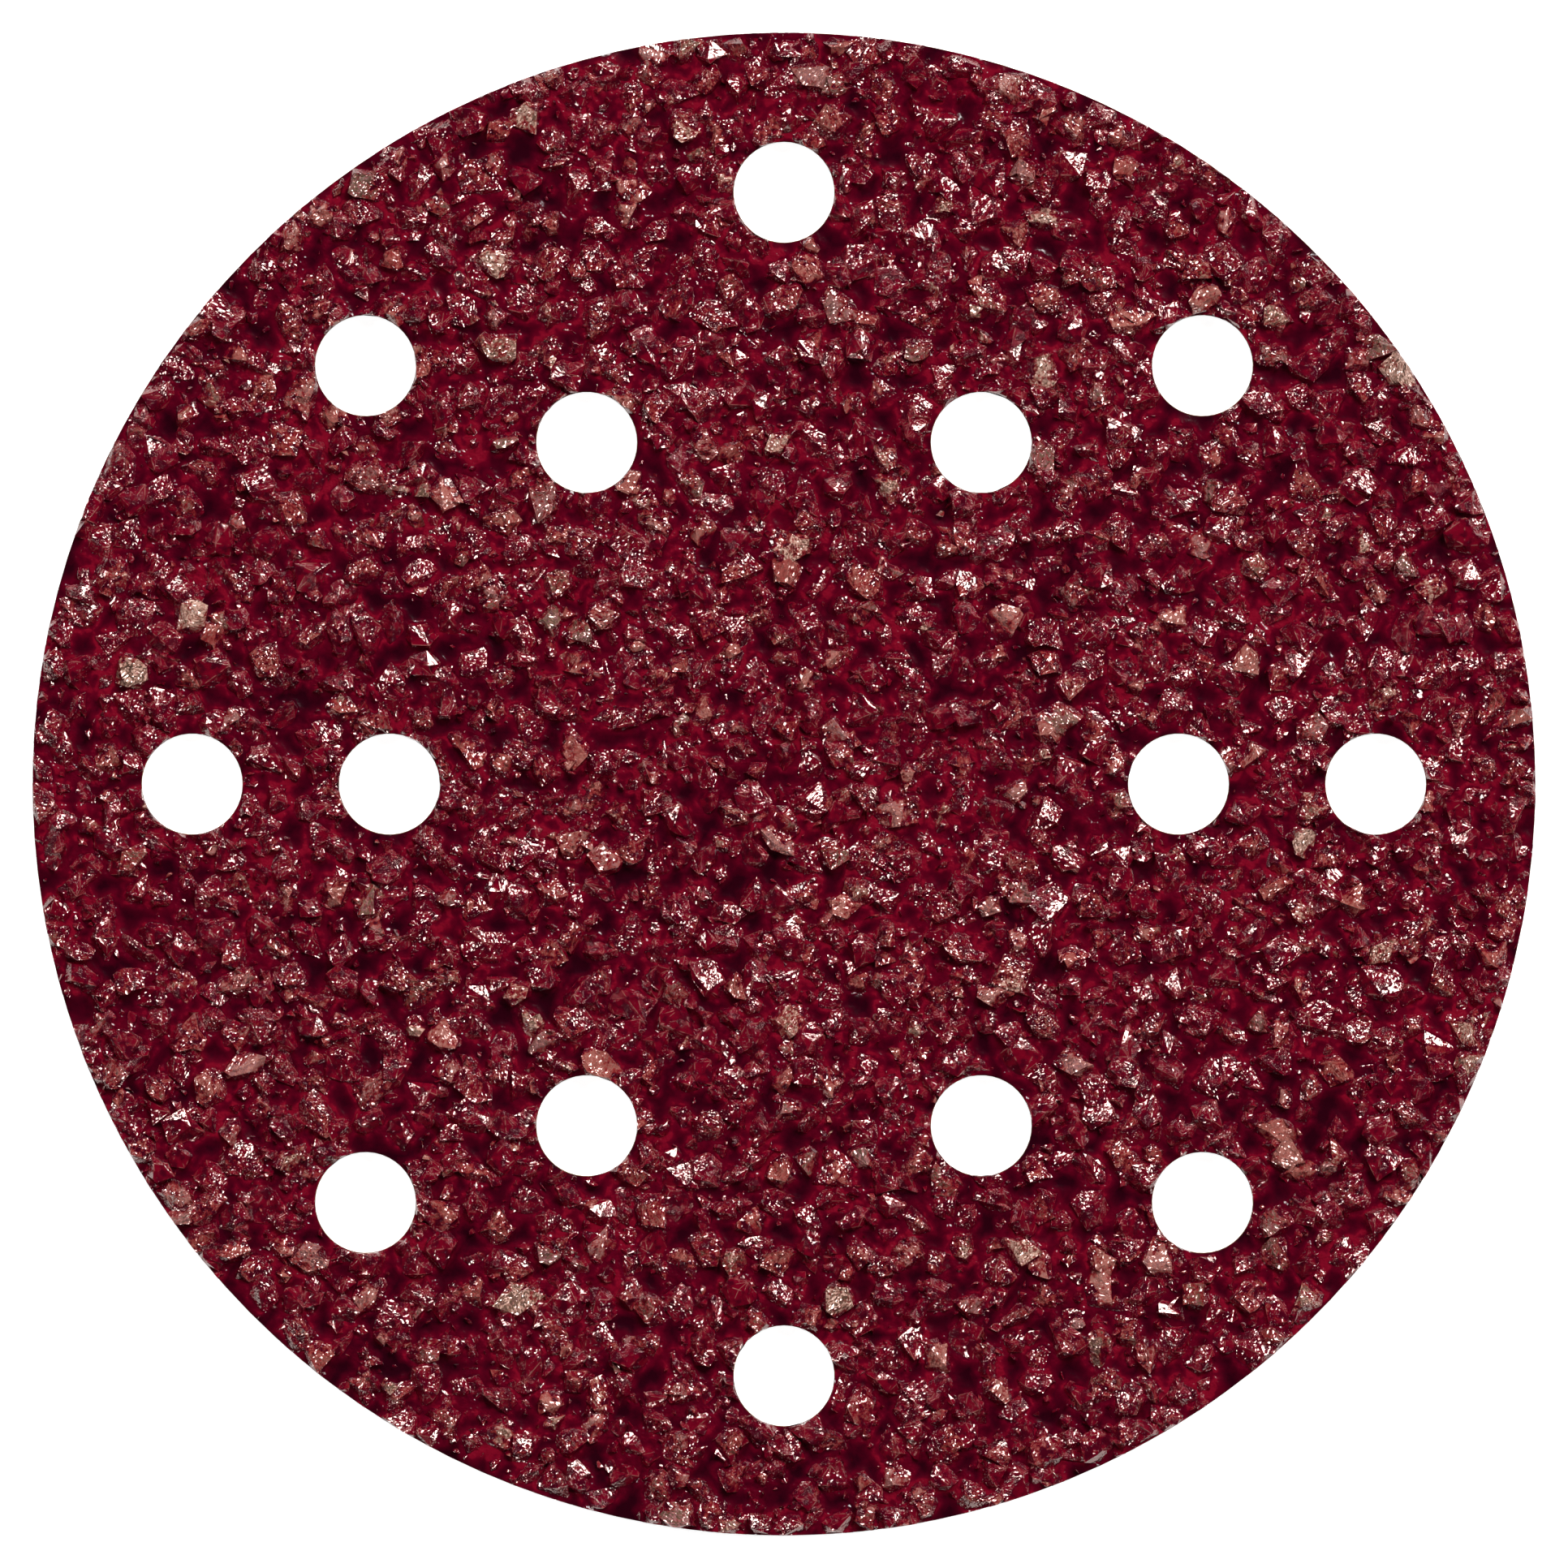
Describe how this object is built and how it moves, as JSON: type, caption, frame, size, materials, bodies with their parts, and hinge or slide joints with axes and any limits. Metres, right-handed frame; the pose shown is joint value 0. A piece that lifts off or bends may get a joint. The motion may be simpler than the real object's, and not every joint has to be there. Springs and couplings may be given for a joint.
{
  "type": "hook and loop sanding disc",
  "caption": "Round sanding disc with coarse crushed grain on one face, loop fabric on the other, and two rings of dust holes punched through.",
  "frame": {"origin": "the disc's centre on the underside of the loop fabric", "axes": "+Z out of the abrasive face; +X through a hole of the outer ring and one of the inner ring"},
  "size_m": [0.1524, 0.1524, 0.0033],
  "materials": {
    "abrasive_coat": "crushed dark red grain under glossy resin",
    "backing_paper": "heavy kraft paper, matt",
    "loop_backing": "brushed knitted loops, off-white"
  },
  "bodies": {
    "root": {"abrasive_coat": "abrasive_coat", "backing_paper": "backing_paper", "loop_backing": "loop_backing"}
  },
  "joints": []
}
